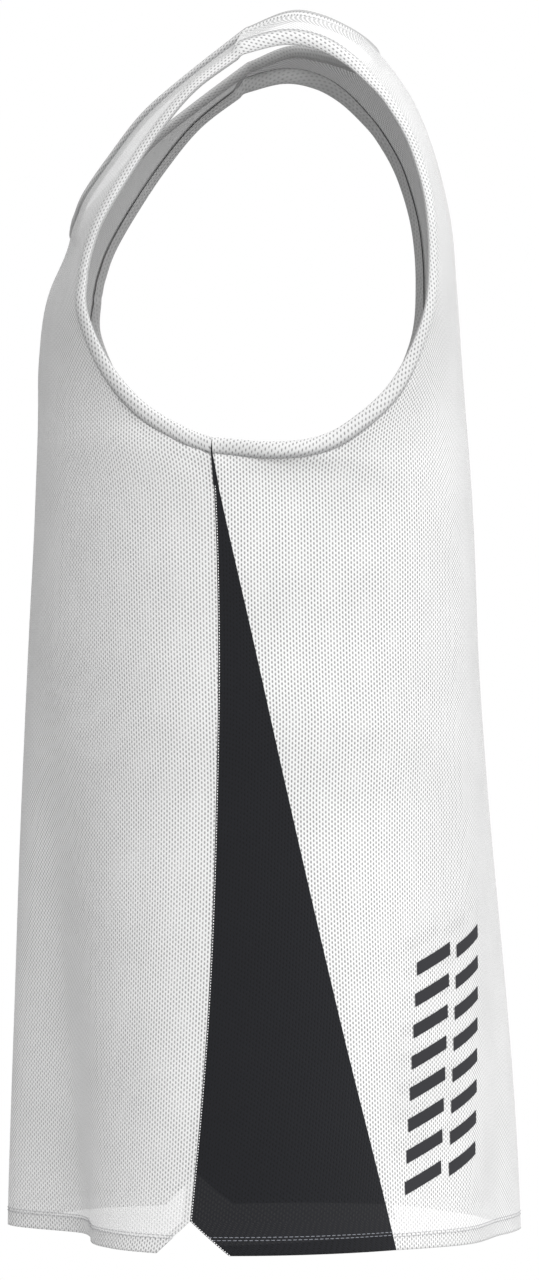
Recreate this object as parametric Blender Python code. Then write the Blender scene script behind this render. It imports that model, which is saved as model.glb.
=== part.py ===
"""Running singlet, men's size M, in the hollow form that it has when worn.

Metres, +Z up. The front faces -Y and the wearer's left side is +X. The origin lies midway between the
two straps, at the height of their highest point, where the wearer's shoulders carry the garment.

Each panel is a grid of points on the outside of the cloth. A grid row runs across the body, from the
panel's outer edge (side seam, then armhole) to its inner edge (centre line, then neck). The tables
below give the rows that shape the garment, and smooth curves through them give the rows between.
"""

import math

import bmesh
import bpy
import numpy as np

# Driving dimensions
WALL = 0.0012  # one layer of micro-mesh, with its loft
HEM_WALL = 0.0022  # where the hem is turned up
SEAM_GAP = 0.0005  # between two pieces along a seam
BINDING_WIDTH = 0.010
BINDING_SEAM = 0.0007  # between the strip and a panel, whose corners lean over a little
BINDING_EDGE = 0.0016  # thickness of the folded strip at its seam
BINDING_PAD = 0.0027  # and at its middle, where the turned edge fills it
# The strip's cut section, round from the seam over the fold: how far along the width from the fold, and
# how far out of the middle. The inner corner at the seam is drawn back, clear of the panel's lean.
BINDING_SECTION = (
    (1.00, BINDING_EDGE / 2),
    (0.55, BINDING_PAD / 2),
    (0.12, BINDING_PAD * 0.36),
    (0.00, 0.0),
    (0.12, -BINDING_PAD * 0.36),
    (0.55, -BINDING_PAD / 2),
    (0.90, -BINDING_EDGE / 2),
)
ACROSS = 13  # grid cells across half a panel
GORE_ACROSS = 4
FRONT_DROP = 0.5  # how much of its change of height a row has made by the point that it bulges to
BACK_DROP = 1.1
FINE = 200  # points on a whole row of the figure, for finding a part of it
EDGE_CELLS = 3  # cells at a panel's outer edge over which the folds fade out
FOLD_GROWTH = 1.2  # power by which a fold deepens as it runs down
HEM_ROWS = 2  # grid rows at the bottom that have the hem's thickness
VENT_ROWS = 2  # grid rows from the vent's corners up to its top
ARMPIT_ROWS = 2  # grid rows from the armpit to the first row of a yoke table
MERGE = 1e-6
CLOTH_ROUGHNESS = 0.85

WHITE = (0.80, 0.81, 0.83)
BINDING_WHITE = (0.76, 0.77, 0.79)
NEAR_BLACK = (0.021, 0.022, 0.026)

# The figure under the cloth, level by level: half its breadth, how far it reaches to the front and to
# the back of the line through the side, and how square its plan is (2 is an ellipse).
LEVEL_COLUMNS = ("height", "half_breadth", "front", "back", "square")
LEVELS = (
    (-0.7090, 0.1980, 0.1535, 0.1465, 2.0),
    (-0.6898, 0.1975, 0.1530, 0.1458, 2.0),
    (-0.5870, 0.1945, 0.1500, 0.1396, 2.1),
    (-0.4510, 0.1905, 0.1463, 0.1288, 2.2),
    (-0.3620, 0.1895, 0.1424, 0.1232, 2.3),
    (-0.2850, 0.1900, 0.1385, 0.1200, 2.4),
    (-0.2457, 0.1905, 0.1372, 0.1173, 2.4),
)

# Where the side gore's two seams run. The last row is its point, at the armhole binding.
SEAM_COLUMNS = ("height", "front_seam", "back_seam")
SEAMS = (
    (-0.7075, -0.0468, 0.0722),
    (-0.6898, -0.0450, 0.0681),
    (-0.5870, -0.0360, 0.0427),
    (-0.4510, -0.0303, 0.0110),
    (-0.3600, -0.0292, -0.0093),
    (-0.2750, -0.0314, -0.0285),
    (-0.2560, -0.0325, -0.0325),
)

# The vent at the front seam: both hem corners are cut away from the seam's lower end.
VENT_TOP = -0.6898
VENT_FRONT = -0.0647
VENT_BACK = -0.0228
HEM_FRONT = -0.7086
GORE_HEM = -0.7090  # the gore's lower edge at the vent, and at its back seam
GORE_HEM_BACK = -0.7075
GORE_TIP = -0.2620
ARMPIT_FOLD = -0.2457  # height of the binding's fold above the gore's point

# Grid rows of the front from hem to armpit: the height at the seam and at the centre, how full the
# curve between them is (0 is a straight line), and the grid rows up to the next one.
BODY_COLUMNS = ("seam_height", "centre_height", "fullness", "rows")
FRONT_BODY = (
    (-0.6898, -0.6880, 0.58, 3),
    (-0.5870, -0.5870, 0.58, 3),
    (-0.4510, -0.4510, 0.58, 3),
    (-0.3600, -0.3620, 0.58, 3),
    (-0.2560, -0.2630, 0.56, 0),
)
BACK_BODY = (
    (-0.7075, -0.7085, 0.55, 1),
    (-0.6985, -0.6995, 0.55, 1),
    (-0.6898, -0.6905, 0.55, 3),
    (-0.5870, -0.5870, 0.55, 3),
    (-0.4510, -0.4580, 0.56, 3),
    (-0.3600, -0.3780, 0.57, 3),
    (-0.2560, -0.3120, 0.58, 0),
)
VENT_FULLNESS = 0.58
VENT_CENTRE = -0.7060  # height of the front hem at the centre line

# Grid rows from the armpit to the shoulder seam: the point on the armhole's fold, the point on the
# centre line or on the neck's fold, the point that the curve between them bulges to, and the grid rows
# up to the next one. Each table's neck row is where the inner points turn from centre line to neck.
YOKE_COLUMNS = ("arm", "inner", "bulge", "fullness", "rows")
FRONT_YOKE = (
    ((0.1850, -0.0484, -0.2397), (0.000, -0.1368, -0.2430), (0.160, -0.1368), 0.57, 2),
    ((0.1800, -0.0717, -0.2256), (0.000, -0.1366, -0.2240), (0.148, -0.1366), 0.57, 2),
    ((0.1755, -0.0917, -0.2022), (0.000, -0.1362, -0.1960), (0.135, -0.1364), 0.57, 2),
    ((0.1720, -0.1045, -0.1740), (0.000, -0.1310, -0.1560), (0.125, -0.1350), 0.57, 2),
    ((0.1690, -0.1050, -0.1540), (0.000, -0.1165, -0.1180), (0.110, -0.1260), 0.57, 2),
    ((0.1683, -0.1042, -0.1480), (0.018, -0.1160, -0.1168), (0.112, -0.1225), 0.56, 2),
    ((0.1675, -0.1022, -0.1390), (0.040, -0.1133, -0.1105), (0.115, -0.1190), 0.55, 2),
    ((0.1660, -0.0962, -0.1220), (0.067, -0.1070, -0.0995), (0.122, -0.1090), 0.50, 2),
    ((0.1635, -0.0829, -0.0988), (0.090, -0.0921, -0.0801), (0.130, -0.0925), 0.50, 2),
    ((0.1610, -0.0647, -0.0716), (0.1075, -0.0730, -0.0570), (0.135, -0.0715), 0.50, 2),
    ((0.1575, -0.0430, -0.0455), (0.1185, -0.0500, -0.0378), (0.139, -0.0480), 0.50, 2),
    ((0.1530, -0.0163, -0.0259), (0.1270, -0.0131, -0.0090), (0.140, -0.0150), 0.50, 0),
)
FRONT_NECK_ROW = 4
BACK_YOKE = (
    ((0.1905, -0.0008, -0.2482), (0.000, 0.1200, -0.2860), (0.189, 0.1200), 0.58, 2),
    ((0.1890, 0.0275, -0.2451), (0.000, 0.1184, -0.2610), (0.184, 0.1184), 0.58, 2),
    ((0.1875, 0.0480, -0.2340), (0.000, 0.1163, -0.2340), (0.176, 0.1163), 0.58, 2),
    ((0.1850, 0.0700, -0.2130), (0.000, 0.1137, -0.2000), (0.164, 0.1140), 0.58, 2),
    ((0.1820, 0.0876, -0.1780), (0.000, 0.1105, -0.1580), (0.148, 0.1118), 0.58, 2),
    ((0.1780, 0.0915, -0.1440), (0.000, 0.1060, -0.1130), (0.135, 0.1080), 0.56, 2),
    ((0.1725, 0.0890, -0.1090), (0.000, 0.0945, -0.0720), (0.120, 0.1000), 0.52, 2),
    ((0.1670, 0.0800, -0.0780), (0.000, 0.0790, -0.0370), (0.105, 0.0880), 0.50, 2),
    ((0.1600, 0.0676, -0.0553), (0.000, 0.0642, -0.0145), (0.095, 0.0735), 0.50, 2),
    ((0.1570, 0.0570, -0.0430), (0.055, 0.0608, -0.0130), (0.110, 0.0650), 0.50, 2),
    ((0.1535, 0.0429, -0.0308), (0.100, 0.0500, -0.0085), (0.128, 0.0510), 0.50, 2),
    ((0.1510, 0.0269, -0.0228), (0.1230, 0.0290, -0.0005), (0.138, 0.0300), 0.50, 2),
    ((0.1502, 0.0080, -0.0202), (0.1262, 0.0110, 0.0010), (0.140, 0.0100), 0.50, 2),
    ((0.1530, -0.0163, -0.0259), (0.1270, -0.0131, -0.0090), (0.140, -0.0150), 0.50, 0),
)
BACK_NECK_ROW = 8
ARM_RUN = (-0.0036, 0.0255, 0.0125)  # which way the two edges of the strap run at the shoulder seam
NECK_RUN = (0.0030, 0.0300, 0.0190)
# Grid rows above the armpit over which the figure's plan gives way to the table's.
FIGURE_ROWS = (2, 14)

# Soft troughs (depth over 0) and ridges (under 0) that run down the body: where the line of each
# starts and ends across it, how wide it is towards -X and +X, and over which heights it grows.
FOLD_COLUMNS = ("side", "top_x", "low_x", "depth", "minus_width", "plus_width", "top", "full")
FOLDS = (
    ("front", 0.098, 0.064, 0.0380, 0.034, 0.066, -0.360, -0.720),
    ("front", 0.020, 0.004, -0.0030, 0.016, 0.020, -0.420, -0.700),
    ("front", -0.110, -0.095, 0.0050, 0.030, 0.034, -0.360, -0.640),
    ("front", -0.045, -0.036, 0.0035, 0.024, 0.026, -0.470, -0.700),
    ("front", -0.060, -0.150, -0.0030, 0.030, 0.026, -0.300, -0.600),
    ("back", 0.030, 0.062, 0.0045, 0.026, 0.034, -0.330, -0.680),
    ("back", 0.100, 0.128, -0.0035, 0.026, 0.022, -0.400, -0.700),
    ("back", -0.040, -0.055, 0.0055, 0.034, 0.028, -0.300, -0.660),
    ("back", -0.105, -0.122, 0.0035, 0.022, 0.024, -0.440, -0.700),
    ("back", 0.004, -0.004, -0.0025, 0.024, 0.020, -0.380, -0.620),
)


def column(table, names, name):
    """One column of a table whose columns have these names."""
    return np.array([row[names.index(name)] for row in table], float)


def smooth(stations, values, at):
    """Values at the stations at, on a smooth curve through values that never runs past its neighbours."""
    values = np.asarray(values, float)
    if values.ndim == 2:
        return np.column_stack([smooth(stations, values[:, i], at) for i in range(values.shape[1])])
    steps = np.diff(stations)
    slopes = np.diff(values) / steps
    tangents = np.empty(len(values))
    tangents[0] = slopes[0]
    tangents[-1] = slopes[-1]
    for i in range(1, len(values) - 1):
        tangents[i] = (slopes[i - 1] * steps[i] + slopes[i] * steps[i - 1]) / (steps[i - 1] + steps[i])
    cell = np.clip(np.searchsorted(stations, at, side="right") - 1, 0, len(steps) - 1)
    width = steps[cell]
    t = (at - np.asarray(stations)[cell]) / width
    return (
        (2 * t**3 - 3 * t**2 + 1) * values[cell]
        + (t**3 - 2 * t**2 + t) * width * tangents[cell]
        + (3 * t**2 - 2 * t**3) * values[cell + 1]
        + (t**3 - t**2) * width * tangents[cell + 1]
    )


def at_height(table, names, name, height):
    """A column of a table by level, read at one height."""
    heights = column(table, names, "height")
    return float(smooth(heights, column(table, names, name), np.array([height]))[0])


def side_breadth(y, height):
    """How far out the figure's side lies at this depth and height, and how fast that falls with depth."""
    breadth = at_height(LEVELS, LEVEL_COLUMNS, "half_breadth", height)
    depth = at_height(LEVELS, LEVEL_COLUMNS, "front" if y < 0 else "back", height)
    square = at_height(LEVELS, LEVEL_COLUMNS, "square", height)
    share = abs(y) / depth
    rest = 1 - share**square
    fall = breadth / depth * share ** (square - 1) * rest ** (1 / square - 1)
    return breadth * rest ** (1 / square), fall


def body_row(y, height, centre_height, side):
    """The ends and the bulge of a row that runs from the point of the side at this depth to the centre.

    side is -1 for the front and 1 for the back.
    """
    x, fall = side_breadth(y, height)
    reach = at_height(LEVELS, LEVEL_COLUMNS, "front" if side < 0 else "back", centre_height)
    toward = max(side * y, 0)
    bulge_x = x - (fall if side * y > 0 else 0) * (reach - toward)
    return (x, y, height), (0.0, side * reach, centre_height), (bulge_x, side * reach)


def body_rows(side):
    """Every grid row of a panel from hem to armpit, as its ends, its bulge and its fullness."""
    table = FRONT_BODY if side < 0 else BACK_BODY
    seam = "front_seam" if side < 0 else "back_seam"
    counts = column(table, BODY_COLUMNS, "rows").astype(int)
    stations = np.concatenate([[0], np.cumsum(counts[:-1])])
    at = np.arange(stations[-1] + 1)
    heights = np.interp(at, stations, column(table, BODY_COLUMNS, "seam_height"))
    centres = np.interp(at, stations, column(table, BODY_COLUMNS, "centre_height"))
    fullness = np.interp(at, stations, column(table, BODY_COLUMNS, "fullness"))
    rows = []
    for height, centre, full in zip(heights, centres, fullness):
        y = at_height(SEAMS, SEAM_COLUMNS, seam, height)
        rows.append((*body_row(y, height, centre, side), full))
    if side < 0:
        corner = (*body_row(VENT_FRONT, HEM_FRONT, VENT_CENTRE, side), VENT_FULLNESS)
        vent = []
        for share in np.linspace(0, 1, VENT_ROWS, endpoint=False):
            ends = zip(corner, rows[0])
            vent.append([np.array(low) + (np.array(high) - np.array(low)) * share for low, high in ends])
        rows = [*vent, *rows]
    return rows


def yoke_rows(side, armpit):
    """Every grid row of a panel above its armpit row, up to the shoulder seam, and which is the neck's."""
    table = FRONT_YOKE if side < 0 else BACK_YOKE
    neck = 1 + (FRONT_NECK_ROW if side < 0 else BACK_NECK_ROW)
    sections = [armpit, *(row[: YOKE_COLUMNS.index("rows")] for row in table)]
    counts = [ARMPIT_ROWS, *column(table, YOKE_COLUMNS, "rows").astype(int)]
    stations = np.concatenate([[0], np.cumsum(counts[:-1])])
    at = np.arange(1, stations[-1] + 1)
    columns = []
    for key in range(len(sections[0])):
        values = np.array([section[key] for section in sections], float)
        turns = [0, neck, len(sections) - 1] if key == 1 else [0, len(sections) - 1]
        found = np.zeros((len(at),) + values.shape[1:])
        for start, end in zip(turns[:-1], turns[1:]):
            inside = (at >= stations[start]) & (at <= stations[end])
            found[inside] = smooth(stations[start : end + 1], values[start : end + 1], at[inside])
        columns.append(found)
    return list(zip(*columns)), stations[neck] - 1


def unit(vector):
    return vector / np.linalg.norm(vector)


def into_cloth(edge, toward, last):
    """At each point of an edge, the direction square to the edge that leads into the cloth.

    last is the way that the edge runs at its upper end, where the other panel carries it on.
    """
    along = np.gradient(edge, axis=0)
    along[-1] = last
    found = []
    for tangent, lead in zip(along, toward):
        tangent = unit(tangent)
        found.append(unit(lead - tangent * lead.dot(tangent)))
    return np.array(found)


def fold_shift(point, side):
    """How far the troughs and ridges of this side move a point of the cloth inward."""
    x, _, z = point
    moved = 0.0
    for row in FOLDS:
        fold = dict(zip(FOLD_COLUMNS, row))
        share = min(max((fold["top"] - z) / (fold["top"] - fold["full"]), 0.0), 1.0)
        if fold["side"] != ("front" if side < 0 else "back") or share == 0:
            continue
        off = x - (fold["top_x"] + (fold["low_x"] - fold["top_x"]) * share)
        width = fold["minus_width"] if off < 0 else fold["plus_width"]
        moved += fold["depth"] * share**FOLD_GROWTH * math.exp(-((off / width) ** 2))
    return moved


def bezier_shares(t):
    """How much each of a cubic curve's four points counts at t."""
    return (1 - t) ** 3, 3 * (1 - t) ** 2 * t, 3 * (1 - t) * t**2, t**3


def figure_plan(row, seam, fullness, side):
    """The plan of a row above the armpit, as the part of a whole row of the figure past its outer end."""
    t = np.linspace(0, 1, FINE)
    reach = row[-1, 1]
    seam_share, seam_pull, centre_pull, centre_share = bezier_shares(t)
    whole_x = seam[0] * (seam_share + seam_pull + centre_pull * fullness)
    whole_y = seam[1] * (seam_share + seam_pull * (1 - fullness))
    whole_y += reach * (seam_pull * fullness + centre_pull + centre_share)
    start = np.interp(side * row[0, 1], side * whole_y, t)
    at = start + (1 - start) * np.linspace(0, 1, len(row))
    plan = np.column_stack([np.interp(at, t, whole_x), np.interp(at, t, whole_y)])
    return plan + (row[0, :2] - plan[0]) * ((1 - np.linspace(0, 1, len(row))) ** 2)[:, None]


def half_panel(side, hand):
    """The grid of one half of a panel, its armhole fold and its neck fold. hand is 1 on the left half."""
    body = body_rows(side)
    (x, y, _), *rest = body[-1]
    yoke, neck = yoke_rows(side, ((x, y, ARMPIT_FOLD), *rest))
    rows = body + yoke
    armpit = len(body) - 1
    neck += len(body)
    outer, inner = np.array([row[0] for row in rows]), np.array([row[1] for row in rows])
    drop = FRONT_DROP if side < 0 else BACK_DROP
    bulge = np.array([(*row[2], row[0][2] + (row[1][2] - row[0][2]) * drop) for row in rows])
    full = np.array([row[3] for row in rows])[:, None]

    # The edges move in from the binding's folds by its width, and from the seams by half a gap.
    seam_end = outer[armpit].copy()
    outer[armpit, 2] = ARMPIT_FOLD
    arm_fold, neck_fold = outer[armpit:].copy(), inner[neck:].copy()
    arm_lead = into_cloth(arm_fold, (bulge - outer)[armpit:], ARM_RUN)
    arm_lead[0] = unit(seam_end - arm_fold[0])
    neck_lead = into_cloth(neck_fold, (outer - inner)[neck:], NECK_RUN)
    outer[armpit:] += (BINDING_WIDTH + BINDING_SEAM) * arm_lead
    outer[armpit] = seam_end + [0, side * SEAM_GAP / 4, -BINDING_SEAM]
    inner[neck:] += (BINDING_WIDTH + BINDING_SEAM) * neck_lead
    outer[: armpit + 1] += SEAM_GAP / 2 * np.array([unit(step) for step in (bulge - outer)[: armpit + 1]])

    points = (outer, outer + full * (bulge - outer), inner + full * (bulge - inner), inner)
    shares = bezier_shares(np.linspace(0, 1, ACROSS + 1)[None, :, None])
    grid = sum(share * point[:, None] for share, point in zip(shares, points))
    for j in range(1, FIGURE_ROWS[1]):
        share = min((FIGURE_ROWS[1] - j) / (FIGURE_ROWS[1] - FIGURE_ROWS[0]), 1.0)
        share = share * share * (3 - 2 * share)
        plan = figure_plan(grid[armpit + j], outer[armpit], full[armpit, 0], side)
        grid[armpit + j, :, :2] += (plan - grid[armpit + j, :, :2]) * share
    grid[-1] += SEAM_GAP / 2 * unit(grid[-2, 0] - grid[-1, 0])
    for points in grid:
        for i, point in enumerate(points):
            point[0] *= hand
            fade = min(i / EDGE_CELLS, 1.0)
            point[1] -= side * fade * fold_shift(point, side)
    mirror = [hand, 1, 1]
    return grid, (arm_fold * mirror, arm_lead * mirror), (neck_fold * mirror, neck_lead * mirror)


def add_faces(bm, grid, flip):
    """Adds one grid of points with its faces to a bmesh, and returns its vertices."""
    verts = [[bm.verts.new(point) for point in points] for points in grid]
    for low, high in zip(verts[:-1], verts[1:]):
        for i in range(len(low) - 1):
            corners = (low[i], high[i], high[i + 1], low[i + 1])
            bm.faces.new(corners[::-1] if flip else corners)
    return verts


def material(name, colour, roughness):
    made = bpy.data.materials.new(name)
    made.use_nodes = True
    shader = made.node_tree.nodes["Principled BSDF"]
    shader.inputs["Base Color"].default_value = (*colour, 1)
    shader.inputs["Roughness"].default_value = roughness
    shader.inputs["Metallic"].default_value = 0
    made.diffuse_color = (*colour, 1)
    return made


def mesh_object(name, bm, finish):
    """A smooth object in the scene from a bmesh, which it frees."""
    mesh = bpy.data.meshes.new(name)
    bm.to_mesh(mesh)
    bm.free()
    mesh.shade_smooth()
    mesh.materials.append(finish)
    piece = bpy.data.objects.new(name, mesh)
    bpy.context.scene.collection.objects.link(piece)
    return piece


def cloth_object(name, grids, finish):
    """A panel: its outer surface from grids of (points, flip), thickened inward, more so at the hem."""
    bm = bmesh.new()
    in_hem = bm.verts.layers.int.new("hem")
    for grid, flip in grids:
        for row in add_faces(bm, grid, flip)[:HEM_ROWS]:
            for vert in row:
                vert[in_hem] = 1
    bmesh.ops.remove_doubles(bm, verts=bm.verts, dist=MERGE)
    bm.verts.index_update()
    hem_index = [vert.index for vert in bm.verts if vert[in_hem]]
    piece = mesh_object(name, bm, finish)
    walls = piece.vertex_groups.new(name="wall")
    walls.add(range(len(piece.data.vertices)), WALL / HEM_WALL, "REPLACE")
    walls.add(hem_index, 1.0, "REPLACE")
    solid = piece.modifiers.new("wall", "SOLIDIFY")
    solid.thickness = HEM_WALL
    solid.offset = -1
    solid.vertex_group = "wall"
    return piece


def gore_grid(heights, hand):
    """The outside of a side gore, from the vent and hem up to its point under the armhole binding."""
    grid = []
    for i, height in enumerate(heights):
        front = at_height(SEAMS, SEAM_COLUMNS, "front_seam", height)
        back = at_height(SEAMS, SEAM_COLUMNS, "back_seam", height)
        front_height = height
        if i < VENT_ROWS:
            share = i / VENT_ROWS
            front = VENT_BACK + (front - VENT_BACK) * share
            front_height = GORE_HEM + (VENT_TOP - GORE_HEM) * share
        row = []
        for share in np.linspace(0, 1, GORE_ACROSS + 1):
            y = front + SEAM_GAP / 2 + (back - front - SEAM_GAP) * share
            z = front_height + (height - front_height) * share
            row.append((hand * side_breadth(y, z)[0], y, z))
        grid.append(row)
    return np.array(grid)


def binding_object(name, fold, lead, finish):
    """A padded strip along a closed edge, from its fold to the seam that holds the panels."""
    bm = bmesh.new()
    rings = []
    for i, (point, inward) in enumerate(zip(fold, lead)):
        tangent = unit(fold[(i + 1) % len(fold)] - fold[i - 1])
        out = unit(np.cross(tangent, inward))
        core = point - out * WALL / 2
        width = inward * BINDING_WIDTH
        rings.append([bm.verts.new(core + width * share + out * height) for share, height in BINDING_SECTION])
    for ring, after in zip(rings, rings[1:] + rings[:1]):
        for j in range(len(ring)):
            k = (j + 1) % len(ring)
            bm.faces.new((ring[j], ring[k], after[k], after[j]))
    bmesh.ops.recalc_face_normals(bm, faces=bm.faces)
    mesh_object(name, bm, finish)


def ring_of(front, back, closed_at_end):
    """A whole edge from its front stretch, run upwards, and its back stretch, run downwards."""
    last = -1 if closed_at_end else None
    return [np.concatenate([f, b[::-1][1:last]]) for f, b in zip(front, back)]


def build():
    """The whole singlet: two panels, two gores and three bindings."""
    for old in list(bpy.data.objects):
        bpy.data.objects.remove(old, do_unlink=True)
    white = material("white_micro_mesh", WHITE, CLOTH_ROUGHNESS)
    trim = material("white_binding_knit", BINDING_WHITE, CLOTH_ROUGHNESS)
    black = material("near_black_micro_mesh", NEAR_BLACK, CLOTH_ROUGHNESS)

    halves = {(side, hand): half_panel(side, hand) for side in (-1, 1) for hand in (1, -1)}
    for name, side in (("front_panel", -1), ("back_panel", 1)):
        cloth_object(name, [(halves[side, hand][0], side * hand > 0) for hand in (1, -1)], white)
    hem_heights = np.linspace(GORE_HEM_BACK, VENT_TOP, VENT_ROWS, endpoint=False)
    seam_heights = [row[0][2] for row in body_rows(-1)[VENT_ROWS:-1]]
    for name, hand in (("side_gore_left", 1), ("side_gore_right", -1)):
        grid = gore_grid([*hem_heights, *seam_heights, GORE_TIP], hand)
        cloth_object(name, [(grid, hand > 0)], black)

    neck_sides = []
    for name, hand in (("armhole_binding_left", 1), ("armhole_binding_right", -1)):
        front, back = halves[-1, hand], halves[1, hand]
        fold, lead = ring_of(front[1], back[1], True)
        binding_object(name, fold[::hand], lead[::hand], trim)
        neck_sides.append(ring_of(front[2], back[2], False))
    fold, lead = (np.concatenate([left, right[-2:0:-1]]) for left, right in zip(*neck_sides))
    binding_object("neck_binding", fold[::-1], lead[::-1], trim)


build()
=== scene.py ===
"""Looks of the running singlet: thin cloth shells, bindings, hems, stitching and materials.

The shells lie where the frame's solids lie. Each panel is a grid of points on the outside of the
cloth: a row runs across the body from the side seam or the armhole to the centre line or the neck.
"""

import math

import bmesh
import bpy
import numpy as np
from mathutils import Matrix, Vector


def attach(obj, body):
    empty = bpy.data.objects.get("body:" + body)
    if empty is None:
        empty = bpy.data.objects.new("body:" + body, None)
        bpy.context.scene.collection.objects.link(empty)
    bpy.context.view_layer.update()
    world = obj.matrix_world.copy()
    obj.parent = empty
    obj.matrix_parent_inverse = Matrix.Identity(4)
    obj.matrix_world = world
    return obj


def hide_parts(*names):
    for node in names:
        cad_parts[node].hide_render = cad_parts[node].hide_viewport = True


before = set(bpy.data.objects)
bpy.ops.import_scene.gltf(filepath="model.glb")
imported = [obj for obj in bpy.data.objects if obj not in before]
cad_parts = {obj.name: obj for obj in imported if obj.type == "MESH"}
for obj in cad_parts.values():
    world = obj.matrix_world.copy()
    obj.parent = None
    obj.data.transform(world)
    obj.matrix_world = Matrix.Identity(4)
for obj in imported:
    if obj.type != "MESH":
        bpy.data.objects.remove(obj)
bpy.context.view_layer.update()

# Driving dimensions
WALL = 0.0012  # one layer of micro-mesh, with its loft
BINDING_WIDTH = 0.010
UNDER_BINDING = 0.0020  # how far a panel's raw edge runs under its binding
BINDING_PAD = 0.0040  # thickness of the folded strip, which the raw edge fills
DETAIL = 6  # shell grid rows for each row of the frame's solids
ACROSS = 84  # grid cells across half a panel
GORE_ACROSS = 44
FRONT_DROP = 0.5  # how much of its change of height a row has made by the point that it bulges to
BACK_DROP = 1.1
FINE = 200  # points on a whole row of the figure, for finding a part of it
EDGE_CELLS = 20  # cells at a panel's outer edge over which the folds fade out
FOLD_GROWTH = 1.2  # power by which a fold deepens as it runs down
VENT_ROWS = 2 * DETAIL  # grid rows from the vent's corners up to its top
ARMPIT_ROWS = 2 * DETAIL  # grid rows from the armpit to the first row of a yoke table

# The figure under the cloth, level by level: half its breadth, how far it reaches to the front and to
# the back of the line through the side, and how square its plan is (2 is an ellipse).
LEVEL_COLUMNS = ("height", "half_breadth", "front", "back", "square")
LEVELS = (
    (-0.7090, 0.1980, 0.1535, 0.1465, 2.0),
    (-0.6898, 0.1975, 0.1530, 0.1458, 2.0),
    (-0.5870, 0.1945, 0.1500, 0.1396, 2.1),
    (-0.4510, 0.1905, 0.1463, 0.1288, 2.2),
    (-0.3620, 0.1895, 0.1424, 0.1232, 2.3),
    (-0.2850, 0.1900, 0.1385, 0.1200, 2.4),
    (-0.2457, 0.1905, 0.1372, 0.1173, 2.4),
)

# Where the side gore's two seams run. The last row is its point, at the armhole binding.
SEAM_COLUMNS = ("height", "front_seam", "back_seam")
SEAMS = (
    (-0.7075, -0.0468, 0.0722),
    (-0.6898, -0.0450, 0.0681),
    (-0.5870, -0.0360, 0.0427),
    (-0.4510, -0.0303, 0.0110),
    (-0.3600, -0.0292, -0.0093),
    (-0.2750, -0.0314, -0.0285),
    (-0.2560, -0.0325, -0.0325),
)

# The vent at the front seam: both hem corners are cut away from the seam's lower end.
VENT_TOP = -0.6898
VENT_FRONT = -0.0647
VENT_BACK = -0.0228
HEM_FRONT = -0.7086
GORE_HEM = -0.7090  # the gore's lower edge at the vent, and at its back seam
GORE_HEM_BACK = -0.7075
ARMPIT_FOLD = -0.2457  # height of the binding's fold above the gore's point

# Grid rows of the front from hem to armpit: the height at the seam and at the centre, how full the
# curve between them is (0 is a straight line), and the grid rows up to the next one.
BODY_COLUMNS = ("seam_height", "centre_height", "fullness", "rows")
FRONT_BODY = (
    (-0.6898, -0.6880, 0.58, 3),
    (-0.5870, -0.5870, 0.58, 3),
    (-0.4510, -0.4510, 0.58, 3),
    (-0.3600, -0.3620, 0.63, 3),
    (-0.2560, -0.2630, 0.70, 0),
)
BACK_BODY = (
    (-0.7075, -0.7085, 0.55, 1),
    (-0.6985, -0.6995, 0.55, 1),
    (-0.6898, -0.6905, 0.55, 3),
    (-0.5870, -0.5870, 0.60, 3),
    (-0.4510, -0.4580, 0.68, 3),
    (-0.3600, -0.3780, 0.76, 3),
    (-0.2560, -0.3120, 0.84, 0),
)
VENT_FULLNESS = 0.58
VENT_CENTRE = -0.7060  # height of the front hem at the centre line

# Grid rows from the armpit to the shoulder seam: the point on the armhole's fold, the point on the
# centre line or on the neck's fold, the point that the curve between them bulges to, and the grid rows
# up to the next one. Each table's neck row is where the inner points turn from centre line to neck.
YOKE_COLUMNS = ("arm", "inner", "bulge", "fullness", "rows")
FRONT_YOKE = (
    ((0.1850, -0.0484, -0.2397), (0.000, -0.1368, -0.2430), (0.160, -0.1368), 0.57, 2),
    ((0.1800, -0.0717, -0.2256), (0.000, -0.1366, -0.2240), (0.148, -0.1366), 0.57, 2),
    ((0.1755, -0.0917, -0.2022), (0.000, -0.1362, -0.1960), (0.135, -0.1364), 0.57, 2),
    ((0.1720, -0.1045, -0.1740), (0.000, -0.1310, -0.1560), (0.125, -0.1350), 0.57, 2),
    ((0.1690, -0.1050, -0.1540), (0.000, -0.1165, -0.1180), (0.110, -0.1260), 0.57, 2),
    ((0.1683, -0.1042, -0.1480), (0.018, -0.1160, -0.1168), (0.112, -0.1225), 0.56, 2),
    ((0.1675, -0.1022, -0.1390), (0.040, -0.1133, -0.1105), (0.115, -0.1190), 0.55, 2),
    ((0.1660, -0.0962, -0.1220), (0.067, -0.1070, -0.0995), (0.122, -0.1090), 0.50, 2),
    ((0.1635, -0.0829, -0.0988), (0.090, -0.0921, -0.0801), (0.130, -0.0925), 0.50, 2),
    ((0.1610, -0.0647, -0.0716), (0.1075, -0.0730, -0.0570), (0.135, -0.0715), 0.50, 2),
    ((0.1575, -0.0430, -0.0455), (0.1185, -0.0500, -0.0378), (0.139, -0.0480), 0.50, 2),
    ((0.1530, -0.0163, -0.0259), (0.1270, -0.0131, -0.0090), (0.140, -0.0150), 0.50, 0),
)
FRONT_NECK_ROW = 4
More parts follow.
